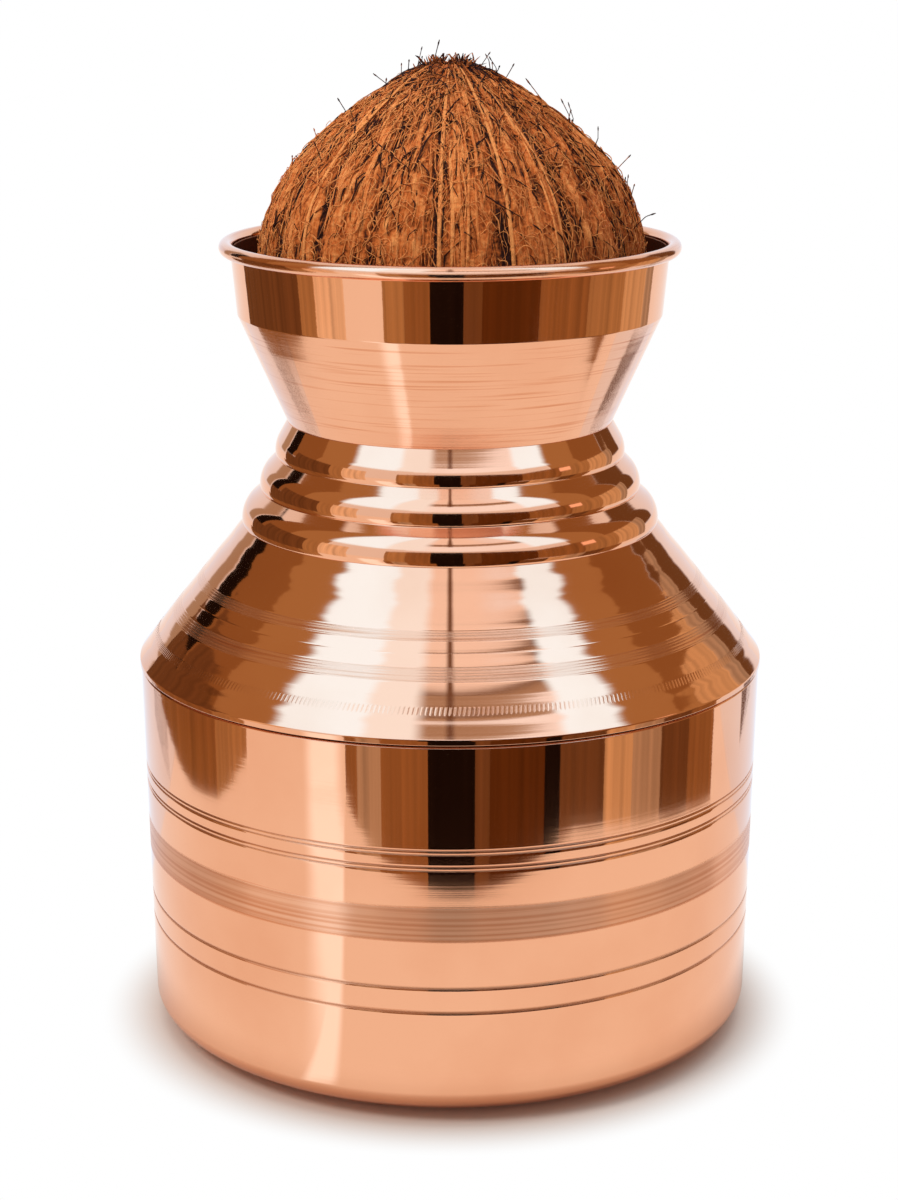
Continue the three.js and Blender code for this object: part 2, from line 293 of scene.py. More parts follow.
def stretch(start, end, spacing, extra=()):
    """Points along a straight stretch, at an even spacing and also close to its two ends, so
    that its shading stays straight. Extra heights are added where something is cut in it."""
    start, end = np.asarray(start), np.asarray(end)
    length = np.linalg.norm(end - start)
    support = min(0.12 * MM / length, 0.2)
    share = np.linspace(0, 1, max(int(length / spacing), 2) + 1)
    share = np.concatenate([share, [support, 1 - support]])
    if len(extra):
        share = np.concatenate([share, (np.asarray(extra) - start[1]) / (end[1] - start[1])])
    share = np.unique(np.round(share[(share >= 0) & (share <= 1)], 5))
    return start + share[:, None] * (end - start)


def rounded(before, corner, after, radius, steps=6):
    """The arc that rounds a corner, touching both of its sides."""
    before, corner, after = map(np.asarray, (before, corner, after))
    u = (before - corner) / np.linalg.norm(before - corner)
    w = (after - corner) / np.linalg.norm(after - corner)
    half = math.acos(np.clip(u @ w, -1, 1)) / 2
    share = np.linspace(0, 1, steps + 1)[:, None]
    centre = corner + (u + w) / np.linalg.norm(u + w) * radius / math.sin(half)
    start, end = corner + u * radius / math.tan(half), corner + w * radius / math.tan(half)
    spoke = (start - centre) * (1 - share) + (end - centre) * share
    return centre + spoke / np.linalg.norm(spoke, axis=1, keepdims=True) * radius


def joined(*stretches):
    """One line from several, without the points where one begins as the last ended."""
    line = np.vstack(stretches)
    apart = np.linalg.norm(np.diff(line, axis=0), axis=1) > 1e-7
    return line[np.concatenate([[True], apart])]


def grooves(heights, at, width):
    """How deep V-shaped grooves are at each height, as a share of their full depth."""
    away = np.abs(np.asarray(heights)[:, None] - np.asarray(at)[None, :])
    return np.clip(1 - away / (width / 2), 0, None).sum(1)


def groove_heights(at, width):
    """Heights at which a line needs points to show grooves."""
    return (np.asarray(at)[:, None] + width * np.linspace(-0.6, 0.6, 9)[None, :]).ravel()


def ripples(along, slope, seed, shortest=3 * MM, longest=22 * MM, count=9):
    """Soft waves along a turned face: a sum of sines of random length and phase, whose slopes
    add up to a root mean square of the one given."""
    random = np.random.default_rng(seed)
    lengths = np.geomspace(shortest, longest, count)
    phases = random.uniform(0, 2 * np.pi, count)
    weights = random.uniform(0.4, 1.0, count)
    weights /= np.sqrt((weights**2).sum() / 2)
    waves = np.sin(2 * np.pi * along[:, None] / lengths + phases) * weights * lengths / (2 * np.pi)
    return slope * waves.sum(1)


def copper_sheet(
    name, node, slot, outer, relief, satin, dull, sizes, cutters=(), back_every=1,
    inside=(math.inf, math.inf),
):
    """A turned shell: its outer line moved out by the relief, and back along the line one
    thickness inside it, cut off just outside each cutter's face. Satin says how brushed the
    sheet is and dull how much patina its outside has, both from 0 to 1. Within a radius and
    height, the way back is the unbuffed inside of the pot."""
    satin, dull = (np.broadcast_to(share, len(outer)) for share in (satin, dull))
    normals = normals_of(outer)
    along = arc_length(outer)
    inner = outer - sizes.sheet * normals
    keep = np.zeros(len(outer), bool)
    keep[-1::-back_every] = True
    keep[0] = True
    for normal, offset in cutters:
        keep &= inner @ normal - offset > 0.05 * MM
    back = np.flatnonzero(keep)[::-1]
    section = np.vstack([outer + relief[:, None] * normals, inner[back]])
    unbuffed = (inner[back] < inside).all(1) * 1.0
    values = {
        "along": np.concatenate([along, along[back]]),
        "satin": np.concatenate([satin, satin[back]]),
        "patina": np.concatenate([dull, unbuffed]),
    }
    shell = turned(name, section, sizes.around, shared(spun_buffed_copper), values)
    finish_on(shell, "pot", slot, node)


# Where the shells meet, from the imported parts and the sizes


class Meeting:
    """The points of the section at which one shell meets the next."""

    def __init__(self, sizes):
        self.belly_r = reach("vessel_body")
        self.lip_r = reach("shoulder")
        self.lip_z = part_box("shoulder")[0].z
        self.joggled_r = self.lip_r - sizes.sheet - sizes.gap
        joggle = self.belly_r - self.joggled_r
        self.wall_top = np.array([self.belly_r, self.lip_z - sizes.gap - joggle])
        self.lip = np.array([self.lip_r, self.lip_z + sizes.lip_edge])
        self.tuck = math.radians(20)
        top_r = sizes.neck_top + sizes.top_rib_out
        middle_r = top_r + sizes.middle_rib_out
        low_r = middle_r + sizes.low_rib_out
        low_z = self.lip[1] + sizes.shoulder_rise
        middle_z = low_z + sizes.low_rib_rise
        top_z = middle_z + sizes.middle_rib_rise
        self.ribs = ((low_r, low_z), (middle_r, middle_z), (top_r, top_z))
        self.neck_top = np.array([sizes.neck_top, top_z + sizes.top_rib_rise])
        self.cone_top = np.array([sizes.cone_top, self.neck_top[1] + sizes.cone_rise])
        band_r = sizes.cone_top + sizes.band_flare
        self.band_top = np.array([band_r, self.cone_top[1] + sizes.band_rise])
        self.neck_foot = self.crease(sizes, low_r, low_z)

    def crease(self, sizes, nose_r, crease_z):
        return np.array([nose_r - sizes.rib_nose * (1 - math.cos(self.tuck)), crease_z])


def face_of(start, end):
    """The normal on the right of a straight face, and how far along it the face lies."""
    step = (end - start) / np.linalg.norm(end - start)
    normal = np.array([step[1], -step[0]])
    return normal, normal @ start


def on_face(normal, offset, radius):
    """The point of a straight face at a radius."""
    return np.array([radius, (offset - normal[0] * radius) / normal[1]])


# Materials


def add_node(material, kind, inputs=(), **settings):
    """Adds one node. Settings are its own options. Inputs give each socket a value, the output
    that feeds it, or a node whose first output in use feeds it."""
    node = material.node_tree.nodes.new("ShaderNode" + kind)
    for key, value in settings.items():
        setattr(node, key, value)
    for key, value in dict(inputs).items():
        if isinstance(value, bpy.types.Node):
            value = next(output for output in value.outputs if output.enabled)
        if isinstance(value, bpy.types.NodeSocket):
            material.node_tree.links.new(value, node.inputs[key])
        else:
            node.inputs[key].default_value = value
    return node


def new_material(name):
    """An empty node material, and add_node for it."""
    material = bpy.data.materials.new(name)
    material.use_nodes = True
    material.node_tree.nodes.clear()
    return material, partial(add_node, material)


def rgba(rgb):
    return (*rgb, 1.0)


def turned_lines(node, pitch, run):
    """Noise drawn out round the pot: it changes along the profile with each pitch, and round
    the pot only with each run."""
    axes = node("SeparateXYZ", {0: node("TexCoord").outputs["Object"]})
    along = node("Attribute", attribute_name="along").outputs["Fac"]
    parts = [(axes.outputs["X"], run), (axes.outputs["Y"], run), (along, pitch)]
    scaled = [node("Math", {0: part, 1: 1 / length}, operation="MULTIPLY") for part, length in parts]
    lathe = node("CombineXYZ", dict(enumerate(scaled)))
    return node("TexNoise", {"Vector": lathe, "Scale": 1.0, "Detail": 2.0})


def round_the_pot(node):
    """The direction that the lathe turned in: square to the axis and to the radius."""
    axes = node("SeparateXYZ", {0: node("TexCoord").outputs["Object"]})
    back = node("Math", {0: axes.outputs["Y"], 1: -1.0}, operation="MULTIPLY")
    turn = node("CombineXYZ", {"X": back, "Y": axes.outputs["X"]})
    unit = node("VectorMath", {0: turn}, operation="NORMALIZE")
    ways = {"vector_type": "VECTOR", "convert_from": "OBJECT", "convert_to": "WORLD"}
    return node("VectorTransform", {0: unit}, **ways)


def spun_buffed_copper():
    """Copper sheet, spun on a lathe and buffed. The eye gets a warm mirror that smears what it
    shows across the turned lines and not along them, duller in the rings that were left
    brushed, with a faint browner cloud of tarnish, and dark where the inside was never buffed."""
    colours = bpy.context.scene.pot_colours
    material, node = new_material("spun_buffed_copper")
    place = node("TexCoord").outputs["Object"]
    satin = node("Attribute", attribute_name="satin").outputs["Fac"]
    patina = node("Attribute", attribute_name="patina").outputs["Fac"]
    pitch, long_run, short_run, cloud_size = 0.8 * MM, 250 * MM, 45 * MM, 45 * MM
    lines = turned_lines(node, pitch, long_run)
    streak = turned_lines(node, pitch, short_run)
    cloud = node("TexNoise", {"Vector": place, "Scale": 1 / cloud_size, "Detail": 4.0})
    # What each share follows, the ends that it runs between there, and its own two ends
    ends = ("Value", "From Min", "From Max", "To Min", "To Max")
    shares = {
        "clouded": (cloud, 0.45, 0.8, 0.0, 0.35),
        "streaked": (streak, 0.55, 0.8, 0.0, 1.0),
        "brushed": (satin, 0.07, 0.11, 0.0, 1.0),
        "ringed": (lines, 0.35, 0.65, -0.3, 0.7),
        "matt": (satin, 0.3, 0.7, 0.0, 1.0),
        "metallic": (patina, 0.0, 1.0, 1.0, 0.06),
        "rough": (satin, 0.0, 1.0, 0.05, 0.32),
        "line_depth": (satin, 0.0, 1.0, 0.25, 1.0),
    }
    share = {key: node("MapRange", dict(zip(ends, row))) for key, row in shares.items()}
    streaked = node("Math", {0: share["streaked"], 1: share["brushed"]}, operation="MULTIPLY")
    marked = node("Mix", {"Factor": share["matt"], "A": streaked, "B": share["ringed"]})
    dulled = node("Math", {0: share["clouded"], 1: marked}, operation="ADD")
    copper, tarnish = rgba(colours.copper), rgba(colours.tarnish)
    tint = node("Mix", {"Factor": dulled, "A": copper, "B": tarnish}, data_type="RGBA")
    aged = node("Mix", {"Factor": patina, "A": tint, "B": rgba(colours.patina)}, data_type="RGBA")
    rough = node("Math", {0: patina, 1: 0.6, 2: share["rough"]}, operation="MULTIPLY_ADD")
    height = node("Math", {0: lines, 1: share["line_depth"]}, operation="MULTIPLY")
    looks = {
        "Base Color": aged, "Metallic": share["metallic"], "Roughness": rough,
        "Anisotropic": 0.95, "Anisotropic Rotation": 0.25, "Tangent": round_the_pot(node),
        "Normal": node("Bump", {"Height": height, "Distance": 0.02 * MM}),
        "Specular IOR Level": 0.0,
    }
    node("OutputMaterial", {"Surface": node("BsdfPrincipled", looks)})
    return material


def run_solder():
    """Tin-lead solder, run in with an iron. The eye gets a dull grey with frosted patches."""
    light, dark = rgba(bpy.context.scene.pot_colours.solder), rgba(linear("#6f6a63"))
    material, node = new_material("run_tin_solder")
    place = node("TexCoord").outputs["Object"]
    frost = node("TexNoise", {"Vector": place, "Scale": 1 / (2.5 * MM), "Detail": 5.0})
    looks = {
        "Base Color": node("Mix", {"Factor": frost, "A": light, "B": dark}, data_type="RGBA"),
        "Metallic": 1.0,
        "Roughness": node("MapRange", {"Value": frost, "To Min": 0.3, "To Max": 0.6}),
        "Normal": node("Bump", {"Height": frost, "Distance": 0.1 * MM}),
    }
    node("OutputMaterial", {"Surface": node("BsdfPrincipled", looks)})
    return material


def drawn_steel():
    """Soft steel wire, drawn through a die. The eye gets a grey metal with long faint lines."""
    light, dark = rgba(bpy.context.scene.pot_colours.steel), rgba(linear("#5d5a56"))
    material, node = new_material("drawn_steel_wire")
    place = node("TexCoord").outputs["Object"]
    lines = node("TexNoise", {"Vector": place, "Scale": 1 / (0.6 * MM), "Detail": 2.0})
    tint = node("Mix", {"Factor": lines, "A": light, "B": dark}, data_type="RGBA")
    shader = node("BsdfPrincipled", {"Base Color": tint, "Metallic": 1.0, "Roughness": 0.38})
    node("OutputMaterial", {"Surface": shader})
    return material


def coir(name, light_share):
    """Coconut fibre, dry and unspun. The eye gets a matt reddish brown, speckled with pith, darker where the
    tone carries painted shade of gaps, splits and furrows, and paler on fibres whose tone is high."""
    colours = bpy.context.scene.pot_colours
    material, node = new_material(name)
    place = node("TexCoord").outputs["Object"]
    tone = node("Attribute", attribute_name="tone").outputs["Fac"]
    streaks_round, streak_length, contrast = 420 / (2 * math.pi), 9 * MM, 1.3
    axes = node("SeparateXYZ", {0: place})
    level = node("CombineXYZ", {"X": axes.outputs["X"], "Y": axes.outputs["Y"]})
    spoke = node("VectorMath", {0: level}, operation="NORMALIZE")
    spread = node("VectorMath", {0: spoke, "Scale": streaks_round}, operation="SCALE")
    height = node("Math", {0: axes.outputs["Z"], 1: 1 / streak_length}, operation="MULTIPLY")
    rise = node("CombineXYZ", {"Z": height})
    grain_place = node("VectorMath", {0: spread, 1: rise}, operation="ADD")
    grain = node("TexNoise", {"Vector": grain_place, "Scale": 1.0, "Detail": 4.0})
    pith = node("TexNoise", {"Vector": place, "Scale": 1 / (1.3 * MM), "Detail": 5.0})
    mottle = node("Math", {0: grain, 1: pith}, operation="ADD")
    mixed = node("Math", {0: mottle, 1: contrast, 2: -contrast}, operation="MULTIPLY_ADD")
    ramp = node("ValToRGB", {0: node("Math", {0: tone, 1: mixed}, operation="ADD")})
    stops = ramp.color_ramp.elements
    stops[0].position, stops[0].color = 0.0, rgba(colours.coir_dark)
    stops[1].position, stops[1].color = 1.0, rgba(colours.coir_light)
    middle = stops.new(light_share)
    middle.color = rgba(colours.coir)
    looks = {
        "Base Color": ramp, "Roughness": 0.85, "IOR": 1.5, "Specular IOR Level": 0.3,
        "Normal": node("Bump", {"Height": mottle, "Distance": 0.9 * MM}),
    }
    node("OutputMaterial", {"Surface": node("BsdfPrincipled", looks)})
    return material


MADE = {}


def shared(make, *details):
    """The material of that name if it has been made already, or else a new one."""
    name = details[0] if details else make.__name__
    if name not in MADE:
        MADE[name] = make(*details)
    return MADE[name]


def finish_on(piece, body, slot, *nodes):
    """Fixes a piece to its body and hides the nodes it stands for. Its slot is not used."""
    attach(piece, body)
    if nodes:
        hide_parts(*nodes)


# Stage


def camera_and_mirrors(node):
    """The share of a ray that comes from the camera, and the share that comes from a mirror."""
    rays = node("LightPath").outputs
    mirror = {0: rays["Is Glossy Ray"], 1: rays["Is Transmission Ray"]}
    return rays["Is Camera Ray"], node("Math", mirror, operation="MAXIMUM")


def white_paper(bounce_tinted_colour):
    """Matt paper, lit by the lamps, in a warm darkish tint that paints the copper's bounce light and deepens
    the shadow near the pot. The camera and the copper see it turn to pure white a short way off the pot,
    each between two distances from the axis."""
    material, node = new_material("white_paper")
    matt = node("BsdfDiffuse", {"Color": rgba(linear(bounce_tinted_colour))})
    white = node("Emission", {"Color": (1, 1, 1, 1), "Strength": 1.0})
    away = node("VectorMath", {0: node("TexCoord").outputs["Object"]}, operation="LENGTH")
    glows = []
    for rays, (start, end) in zip(camera_and_mirrors(node), (CAMERA_GLOW, MIRROR_GLOW)):
        ends = {"Value": away, "From Min": start, "From Max": end}
        white_share = node("MapRange", ends, interpolation_type="SMOOTHSTEP")
        glows.append(node("Math", {0: white_share, 1: rays}, operation="MULTIPLY"))
    glow = node("Math", dict(enumerate(glows)), operation="MAXIMUM")
    node("OutputMaterial", {"Surface": node("MixShader", {0: glow, 1: matt, 2: white})})
    return material


def card_paint(name, hex_colour, strength, softness, streak):
    """Card that only mirrors see. Its edges fade over a share of its width and height, and its
    brightness varies by a share, in upright streaks."""
    material, node = new_material(name)
    axes = node("SeparateXYZ", {0: node("UVMap")})
    fades = []
    for axis, soft in enumerate(softness):
        flipped = node("Math", {0: 1.0, 1: axes.outputs[axis]}, operation="SUBTRACT")
        nearest = node("Math", {0: axes.outputs[axis], 1: flipped}, operation="MINIMUM")
        ends = {"Value": nearest, "From Min": 0.0, "From Max": max(soft, 1e-4)}
        fades.append(node("MapRange", ends, interpolation_type="SMOOTHSTEP"))
    solid = node("Math", dict(enumerate(fades)), operation="MULTIPLY")
    place = node("TexCoord").outputs["Object"]
    upright = node("VectorMath", {0: place, 1: CARD_STREAKS}, operation="MULTIPLY")
    noise = node("TexNoise", {"Vector": upright, "Scale": 1.0, "Detail": 3.0})
    levels = {
        "Value": noise, "From Min": 0.25, "From Max": 0.75,
        "To Min": (1 - streak) * strength, "To Max": (1 + streak) * strength,
    }
    tone = {"Color": rgba(linear(hex_colour)), "Strength": node("MapRange", levels)}
    mixed = {0: solid, 1: node("BsdfTransparent"), 2: node("Emission", tone)}
    node("OutputMaterial", {"Surface": node("MixShader", mixed)})
    material.cycles.emission_sampling = "NONE"
    return material


def card(name, points, rows, columns, hex_colour, strength, softness, streak=0.0):
    """A card of rows by columns of points, in millimetres, whose UV runs from 0 to 1 each way."""
    faces = grid_faces(rows, columns, close_columns=False)
    paint = card_paint(name, hex_colour, strength, softness, streak)
    mesh = new_mesh(name, MM * np.asarray(points, float), faces.tolist(), paint)
    share = np.stack([faces % columns / (columns - 1), faces // columns / (rows - 1)], -1)
    mesh.uv_layers.new(name="UVMap").data.foreach_set("uv", share.ravel())
    piece = placed(name, mesh)
    piece.visible_camera = False
    piece.visible_diffuse = False
    piece.visible_shadow = False
    piece.visible_transmission = False


def standing_card(name, left, right, low, high, hex_colour, strength=1.0, softness=(0, 0)):
    """An upright card over a line on the floor. Those of strength 1 have streaks."""
    corners = [(*foot, z) for z in (low, high) for foot in (left, right)]
    streak = CARD_STREAK_SHARE if strength == 1 else 0.0
    card(name, corners, 2, 2, hex_colour, strength, softness, streak)


def lying_card(name, corners, hex_colour, strength=1.0, softness=(0, 0)):
    """A card just above the floor, over four places on it: two near and two far."""
    card(name, [(*corner, LYING_Z) for corner in corners], 2, 2, hex_colour, strength, softness)


def sky_card(number, name, azimuths, elevations, hex_colour, strength, softness):
    """A patch of a sphere round the pot, between two azimuths from the front, positive to the
    right, and two elevations, all in degrees. Each lies a little outside the one before it."""
    rows, columns = 9, 13
    azimuth = np.radians(np.linspace(*azimuths, columns))
    elevation = np.radians(np.linspace(*elevations, rows))[:, None]
    points = (SKY_RADIUS + SKY_STEP * number) * polar(np.cos(elevation), np.sin(elevation), azimuth)
    card(name, points + SKY_CENTRE, rows, columns, hex_colour, strength, softness)


def softbox(name, place, aim, width, height, radiance):
    """A rectangular lamp of a given radiance: its power is the radiance times its area times pi."""
    data = bpy.data.lights.new(name, "AREA")
    data.shape = "RECTANGLE"
    data.size, data.size_y = width * MM, height * MM
    data.energy = radiance * math.pi * data.size * data.size_y
    lamp = placed(name, data)
    lamp.location = [MM * c for c in place]
    lamp.rotation_euler = (Vector(aim) - Vector(place)).to_track_quat("-Z", "Y").to_euler()
    lamp.visible_glossy = False


# Half the width of the paper and its colour, a warm darkish tint that paints the copper's bounce light
# and deepens the shadow near the pot, and the distances from the pot's foot between which it turns
# white, for the camera and for mirrors. Lengths are in metres.
PAPER_HALF, PAPER_BOUNCE_TINT = 3.0, "#e8d4c4"
CAMERA_GLOW, MIRROR_GLOW = (0.082, 0.107), (0.085, 0.12)

# Cards that stand round the pot, in rows from left to right: where each ends on the floor, in
# millimetres, and its tone. The vessel mirrors the low rows, and the mouth and the ribs mirror
# the high ones, which hang over them. Places and tones were fitted by measurement to the bars
# that the copper in the photo mirrors.
LOW_Z, HIGH_Z, TOP_Z, LYING_Z = 0, 105, 240, 0.3
BLACK, DARK, WOOD, OAK = "#1c130e", "#5c3818", "#705032", "#936c42"
BUFF, PALE, CREAM, PAPER = "#b08e62", "#b3a28c", "#d0b48c", "#f5e2c7"
# Streaks to the metre each way, and the share by which they change a card's brightness
CARD_STREAKS = (90.0, 90.0, 3.0)
CARD_STREAK_SHARE = 0.28
CARD_ROWS = {
    ("front_low", LOW_Z, HIGH_Z): (
        (-181, -281), ((-146, -268), OAK), ((-97, -257), PALE), ((-28, -248), OAK),
        ((31, -245), BLACK), ((50, -245), WOOD), ((107, -244), DARK),
        ((132, -243), DARK), ((160, -240), BLACK), ((187, -230), WOOD),
        ((222, -194), WOOD), ((249, -149), CREAM), ((271, -95), PALE),
        ((282, -33), WOOD), ((280, 36), OAK),
    ),
    ("front_high", HIGH_Z, TOP_Z): (
        (-148, -240), ((-92, -238), BUFF), ((-38, -236), OAK), ((25, -235), BLACK),
        ((61, -235), WOOD), ((131, -236), DARK), ((155, -238), DARK),
        ((229, -240), DARK), ((268, -98), OAK), ((284, 20), BUFF),
        ((262, 112), CREAM), ((242, 151), PALE),
    ),
    ("left_low", LOW_Z, HIGH_Z): (
        (-345, 318), ((-312, 133), OAK), ((-296, 33), OAK), ((-296, -41), OAK),
        ((-331, -123), BUFF),
    ),
    ("left_high", HIGH_Z, TOP_Z): (
        (-264, 107), ((-282, 35), WOOD), ((-277, -60), WOOD), ((-264, -107), BUFF),
        ((-222, -178), PAPER),
    ),
}

# Single cards. The strip is bright, and stands left of the front cards with its light on the
# floor.
COLD_WHITE, COLD_STRENGTH = "#e6f1ff", 1.15
WINDOW_WHITE, WINDOW_STRENGTH = "#ffd9c4", 1.25
STRIP_WHITE, STRIP_STRENGTH = "#d8ecff", 1.85
STRIP_NEAR = ((-55, -83), (-41, -96))
STRIP_FAR = ((-246, -223), (-185, -284))
LEFT_FLOOR = ((-262, 100), (-272, 216), (-336, 172), (-345, 318))
RIGHT_FLOOR = ((270, 162), (265, 326), (343, 238), (337, 459))
BACK_FLOOR = ((-500, 100), (500, 100), (-500, 600), (500, 600))
SINGLE_CARDS = (
    (standing_card, "left_back", (-232, 166), (-264, 107), HIGH_Z, 190, WOOD),
    (lying_card, "left_floor", LEFT_FLOOR, DARK, 1.0, (0.05, 0.02)),
    (lying_card, "right_floor", RIGHT_FLOOR, DARK, 1.0, (0.05, 0.02)),
    (standing_card, "window", (247, -100), (262, -58), 182, 226, WINDOW_WHITE, WINDOW_STRENGTH, (0.1, 0.15)),
    (standing_card, "strip", *STRIP_FAR, LOW_Z, HIGH_Z, STRIP_WHITE, STRIP_STRENGTH, (0.3, 0)),
    (lying_card, "strip_floor", (*STRIP_NEAR, *STRIP_FAR), STRIP_WHITE, STRIP_STRENGTH, (0.3, 0.04)),
    (lying_card, "back_floor", BACK_FLOOR, COLD_WHITE, COLD_STRENGTH, (0.02, 0.02)),
)

# Cards on a sphere in millimetres, which the sloping faces mirror: the azimuths, elevations,
# tone, strength and soft edges of each. A lamp is cold white, so that copper shows it as white.
LAMP_WHITE = "#9fd0ff"
SKY_RADIUS, SKY_STEP = 500, 8
SKY_CENTRE = np.array([0, 0, 120])
SKY = (
    ("sky_slit", (-3, 3), (44, 84), WOOD, 1.0, (0.5, 0.05)),
    ("sky_lamp_left", (-72, -32), (29, 84), LAMP_WHITE, 3.2, (0.15, 0.08)),
    ("sky_lamp_right", (43, 71), (29, 84), LAMP_WHITE, 3.2, (0.2, 0.08)),
    ("sky_pale_lamp", (-46, -9), (29, 84), "#b8dcff", 2.3, (0.22, 0.08)),
    ("sky_edge_lamp", (14, 62), (54, 84), "#cfe4ff", 1.7, (0.45, 0.1)),
    ("sky_lamp_top", (-24, 50), (52.5, 84), "#e7f1ff", 1.35, (0.02, 0.04)),
    ("sky_middle", (-24, 50), (49.6, 52.8), WOOD, 1.0, (0.0, 0.35)),
    ("sky_low_middle", (-24, 50), (46, 51.0), PALE, 1.0, (0.0, 0.1)),
    ("sky_rib_lamp", (-24, 50), (29, 46.6), "#c6e0ff", 2.0, (0.0, 0.05)),
    ("sky_pale_left", (-96, -68), (8, 84), BUFF, 1.0, (0.0, 0.05)),
    ("sky_brown_left", (-121, -95), (8, 60), OAK, 1.0, (0.0, 0.05)),
    ("sky_black_left", (-131, -121), (8, 36), BLACK, 1.0, (0.0, 0.05)),
    ("sky_grey_left", (-143, -131), (4, 36), PALE, 1.0, (0.2, 0.05)),
    ("sky_pale_right", (67, 92), (8, 84), BUFF, 1.0, (0.0, 0.05)),
    ("sky_brown_right", (91, 119), (8, 60), OAK, 1.0, (0.0, 0.05)),
    ("sky_dark_right", (118, 142), (2, 40), WOOD, 1.0, (0.1, 0.05)),
)

# The even light that matt faces get, and the lamps: place, aim, width and height, all in
# millimetres, and radiance
FILL = 0.47
LAMPS = (
    ("top_softbox", (0, 60, 620), (0, 0, 0), 560, 420, 2.0),
    ("key_softbox", (-335, -350, 520), (0, 0, 200), 190, 190, 10.5),
)


def make_camera():
    data = bpy.data.cameras.new("camera")
    data.lens = LENS_MM
    data.sensor_width = SENSOR_MM
    camera = placed("camera", data)
    camera.location = CAMERA_PLACE
    camera.rotation_euler = (math.pi / 2 + CAMERA_PITCH, 0, 0)
    bpy.context.scene.camera = camera


def make_world():
    """Even light for matt faces, white for the camera, and a colder white for mirrors."""
    world = bpy.data.worlds.new("studio")
    bpy.context.scene.world = world
    world.use_nodes = True
    world.node_tree.nodes.clear()
    node = partial(add_node, world)
    camera, mirror = camera_and_mirrors(node)
    fill, white, cold = (
        node("Background", {"Color": rgba(linear(tone)), "Strength": strength})
        for tone, strength in (("#ffffff", FILL), ("#ffffff", 1.0), (COLD_WHITE, COLD_STRENGTH))
    )
    seen = node("Math", {0: camera, 1: mirror}, operation="MAXIMUM")
    lit = node("MixShader", {0: mirror, 1: white, 2: cold})
    node("OutputWorld", {"Surface": node("MixShader", {0: seen, 1: fill, 2: lit})})


def make_floor():
    corners = [(x * PAPER_HALF, y * PAPER_HALF, 0) for x, y in ((-1, -1), (1, -1), (1, 1), (-1, 1))]
    floor = placed("floor", new_mesh("floor", corners, [(0, 1, 2, 3)], white_paper(PAPER_BOUNCE_TINT)))


class POT_OT_stage(bpy.types.Operator):
    """Makes the camera, the floor, the lamps and the cards that the copper mirrors"""

    bl_idname = "pot.stage"
    bl_label = "Stage"

    def execute(self, context):
        make_camera()
        make_world()
        make_floor()
        for (name, low, high), (left, *cards) in CARD_ROWS.items():
            for number, (right, tone) in enumerate(cards):
                standing_card(f"{name}_{number}", left, right, low, high, tone)
                left = right
        for make, *details in SINGLE_CARDS:
            make(*details)
        for number, patch in enumerate(SKY):
            sky_card(number, *patch)
        for lamp in LAMPS:
            softbox(*lamp)
        context.scene.view_settings.view_transform = "Standard"
        return {"FINISHED"}


# The copper pieces: how brushed their faces are and how much patina is left on them, both from
# 0 to 1

BAND_SATIN, NECK_SATIN, SHOULDER_SATIN, CONE_SATIN = 0.04, 0.05, 0.06, 0.11
SCRIBED_SATIN, BEAD_SATIN, TICK_SATIN, FLOOR_SATIN = 0.2, 0.3, 0.3, 0.6
SCRIBED_PATINA, GROOVE_PATINA, BEAD_PATINA = 0.06, 0.2, 0.45


class POT_OT_vessel(bpy.types.Operator):
    """Turns the straight vessel: floor, rounded corner, grooved wall, joggle and flange"""

    bl_idname = "pot.vessel"
    bl_label = "Vessel"

    def execute(self, context):
        sizes, cuts = context.scene.pot_sizes, context.scene.pot_grooves
        meet = Meeting(sizes)
        corner = np.array([meet.belly_r - sizes.wall_taper - sizes.corner_width, sizes.corner_height])
        foot_inner = corner[0] - sizes.foot_width
        broad = cuts.broad_z + cuts.broad_pitch * np.arange(2)
        pair, line = np.divmod(np.arange(4), 2)
        fine = cuts.fine_z + cuts.fine_pair * pair + cuts.fine_pitch * line
        matt_edges = np.array([cuts.matt_low, cuts.matt_high])
        cut_heights = [groove_heights(broad, cuts.broad_width), groove_heights(fine, cuts.fine_width)]
        extra = np.concatenate([*cut_heights, matt_edges, matt_edges + 0.1 * MM])
        wall_foot = corner + np.array([sizes.corner_width, 0])
        joggle_top = np.array([meet.joggled_r, meet.wall_top[1] + meet.belly_r - meet.joggled_r])
        slope, offset = face_of(meet.lip, meet.neck_foot)
        flange = on_face(slope, offset - sizes.sheet - sizes.gap, meet.joggled_r)
        flange_end = flange + sizes.seat_flange * np.array([-slope[1], slope[0]])
        kick = np.array([foot_inner - sizes.kick_run, sizes.kick_up])
        foot = np.array([foot_inner, 0.0])
        centre = np.array([0.0, sizes.kick_up])
        outer = joined(
            stretch(centre, kick, 6 * MM)[:-1],
            rounded(centre, kick, foot, 1.5 * MM),
            rounded(kick, foot, corner * [1, 0], 1.5 * MM),
            arc(corner, sizes.corner_width, -math.pi / 2, 0, 36, sizes.corner_height),
            stretch(wall_foot, meet.wall_top, 0.9 * MM, extra),
            stretch(meet.wall_top, joggle_top, 0.4 * MM),
            stretch(joggle_top, flange, 1 * MM),
            stretch(flange, flange_end, 1 * MM),
        )
        z = outer[:, 1]
        on_wall = (z > sizes.corner_height) & (z < meet.wall_top[1])
        on_wall &= outer[:, 0] > corner[0] + 0.9 * sizes.corner_width
        cut = (grooves(z, broad, cuts.broad_width) + grooves(z, fine, cuts.fine_width)) * on_wall
        relief = ripples(arc_length(outer), sizes.ripple, seed=3) * on_wall - cuts.depth * cut
        satin = ((z > cuts.matt_low) & (z < cuts.matt_high)) * 1.0
        satin[outer[:, 0] < foot_inner] = FLOOR_SATIN
        copper_sheet(
            "vessel", "vessel_body", "polished_copper", outer, relief, np.maximum(satin, cut),
            GROOVE_PATINA * cut, sizes, back_every=5,
        )
        return {"FINISHED"}


